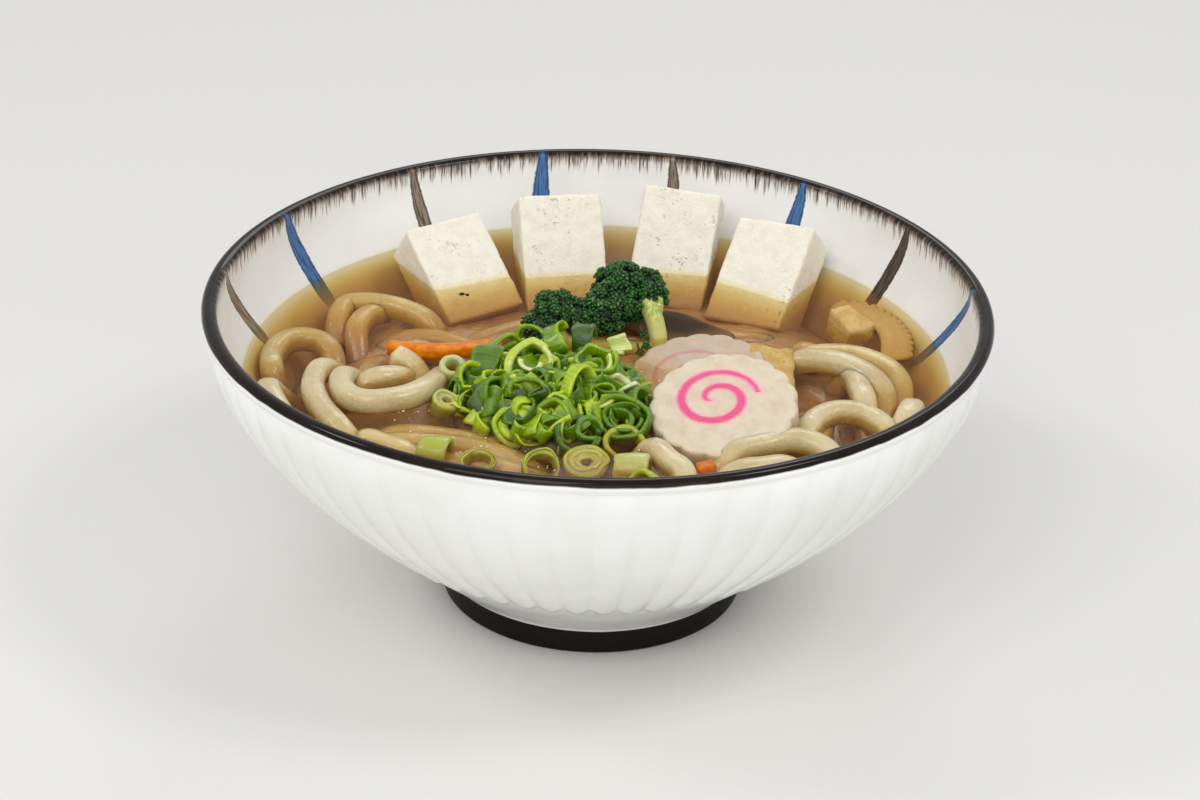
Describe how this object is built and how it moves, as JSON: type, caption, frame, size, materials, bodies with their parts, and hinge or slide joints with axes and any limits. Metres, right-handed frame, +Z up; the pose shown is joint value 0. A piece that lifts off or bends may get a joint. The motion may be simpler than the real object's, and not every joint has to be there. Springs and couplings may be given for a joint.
{
  "type": "udon noodle bowl",
  "caption": "Fluted white stoneware bowl with a dark rim, filled with noodle soup, tofu, swirled fish cake, broccoli and sliced scallions.",
  "frame": {"origin": "middle of the foot ring's underside, on the surface that the bowl stands on", "axes": "+Z up through the bowl's middle, -Y towards the eater, with the tofu blocks along the far wall at +Y"},
  "size_m": [0.21, 0.21, 0.086],
  "materials": {
    "glaze": "gloss",
    "broth": "gloss",
    "noodle": "satin",
    "tofu": "matte",
    "fish_cake": "satin",
    "fish_cake_pink": "satin",
    "broccoli": "matte",
    "scallion": "satin",
    "carrot": "satin",
    "fried_tofu": "matte"
  },
  "bodies": {
    "root": {"bowl": "glaze", "broth": "broth", "noodles": "noodle", "tofu_1": "tofu", "tofu_2": "tofu", "tofu_3": "tofu", "tofu_4": "tofu", "naruto_front": "fish_cake", "naruto_front_swirl": "fish_cake_pink", "naruto_back": "fish_cake", "naruto_back_swirl": "fish_cake_pink", "fried_tofu_1": "fried_tofu", "fried_tofu_2": "fried_tofu", "carrot_strip": "carrot", "carrot_bit": "carrot", "broccoli": "broccoli", "scallions": "scallion", "scallion_loose_1": "scallion", "scallion_loose_2": "scallion", "scallion_loose_3": "scallion", "scallion_loose_4": "scallion", "scallion_loose_5": "scallion", "scallion_loose_6": "scallion", "scallion_loose_7": "scallion", "scallion_loose_8": "scallion", "scallion_loose_9": "scallion"}
  },
  "joints": []
}
